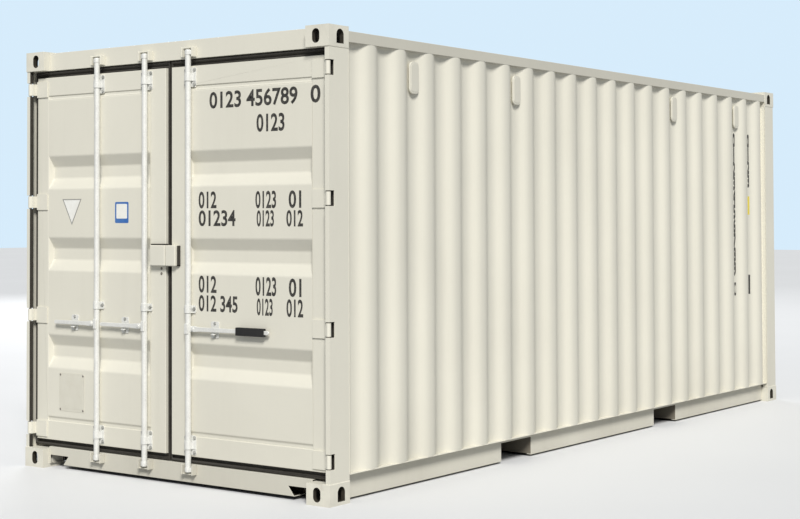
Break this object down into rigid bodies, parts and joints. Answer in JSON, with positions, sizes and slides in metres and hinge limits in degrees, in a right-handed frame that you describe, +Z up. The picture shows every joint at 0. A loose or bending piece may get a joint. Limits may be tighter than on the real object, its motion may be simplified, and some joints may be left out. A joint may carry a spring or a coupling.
{
  "type": "shipping container",
  "caption": "Twenty-foot steel dry cargo container with corrugated walls, two hinged end doors, locking bars with handles, fork pockets and cast corner fittings.",
  "frame": {"origin": "on the ground under the middle of the box", "axes": "X along the length with the doors at -X, Y across the width, Z up"},
  "size_m": [6.058, 2.438, 2.591],
  "materials": {
    "cream_paint": "satin marine paint",
    "bar_galvanised": "galvanised and painted, satin",
    "seal_rubber": "matt",
    "grip_rubber": "matt",
    "floor_plywood": "sealed plywood",
    "underside_paint": "dark underside coating",
    "pin_steel": "bright",
    "vent_paint": "matt"
  },
  "bodies": {
    "container": {"bottom_corner_fittings": "cream_paint", "top_corner_fittings": "cream_paint", "door_corner_posts": "cream_paint", "hinge_pins": "pin_steel", "front_corner_posts": "cream_paint", "door_header": "cream_paint", "door_sill": "cream_paint", "front_top_rail": "cream_paint", "front_bottom_rail": "cream_paint", "side_top_rails": "cream_paint", "side_bottom_rails": "cream_paint", "left_side_wall": "cream_paint", "right_side_wall": "cream_paint", "front_wall": "cream_paint", "roof_panel": "cream_paint", "floor_boards": "floor_plywood", "floor_crossmembers": "underside_paint", "fork_pockets": "underside_paint", "ventilators": "vent_paint", "header_keepers": "bar_galvanised", "sill_keepers": "bar_galvanised"},
    "left_door": {"left_door_frame": "cream_paint", "left_door_panel": "cream_paint", "left_door_gasket": "seal_rubber", "left_door_hinges": "cream_paint", "left_bar_brackets": "bar_galvanised", "left_handle_retainers": "bar_galvanised", "left_lock_cover": "cream_paint"},
    "right_door": {"right_door_frame": "cream_paint", "right_door_panel": "cream_paint", "right_door_gasket": "seal_rubber", "right_door_hinges": "cream_paint", "right_bar_brackets": "bar_galvanised", "right_handle_retainers": "bar_galvanised", "right_lock_cover": "cream_paint"},
    "left_outer_bar": {"left_outer_locking_bar": "bar_galvanised"},
    "left_inner_bar": {"left_inner_locking_bar": "bar_galvanised"},
    "right_bar": {"right_locking_bar": "bar_galvanised"},
    "left_outer_lever": {"left_outer_handle": "bar_galvanised"},
    "left_inner_lever": {"left_inner_handle": "bar_galvanised"},
    "right_lever": {"right_handle": "bar_galvanised", "right_handle_grip": "grip_rubber"}
  },
  "joints": [
    {"name": "left_door_hinge", "type": "hinge", "parent": "container", "child": "left_door", "pos_m": [-3.01, 1.199, 1.3], "axis": [0, 0, -1], "range_deg": [0, 263]},
    {"name": "right_door_hinge", "type": "hinge", "parent": "container", "child": "right_door", "pos_m": [-3.01, -1.199, 1.3], "axis": [0, 0, 1], "range_deg": [0, 263]},
    {"name": "left_outer_bar_turn", "type": "hinge", "parent": "left_door", "child": "left_outer_bar", "pos_m": [-3.002, 0.604, 1.3], "axis": [0, 0, -1], "range_deg": [-100, 0]},
    {"name": "left_outer_handle_lift", "type": "hinge", "parent": "left_outer_bar", "child": "left_outer_lever", "pos_m": [-3.002, 0.648, 0.909], "axis": [1, 0, 0], "range_deg": [0, 15]},
    {"name": "left_inner_bar_turn", "type": "hinge", "parent": "left_door", "child": "left_inner_bar", "pos_m": [-3.002, 0.197, 1.3], "axis": [0, 0, -1], "range_deg": [-100, 0]},
    {"name": "left_inner_handle_lift", "type": "hinge", "parent": "left_inner_bar", "child": "left_inner_lever", "pos_m": [-3.002, 0.241, 0.909], "axis": [1, 0, 0], "range_deg": [0, 15]},
    {"name": "right_bar_turn", "type": "hinge", "parent": "right_door", "child": "right_bar", "pos_m": [-3.002, -0.157, 1.3], "axis": [0, 0, 1], "range_deg": [-100, 0]},
    {"name": "right_handle_lift", "type": "hinge", "parent": "right_bar", "child": "right_lever", "pos_m": [-3.002, -0.201, 0.909], "axis": [-1, 0, 0], "range_deg": [0, 15]}
  ]
}
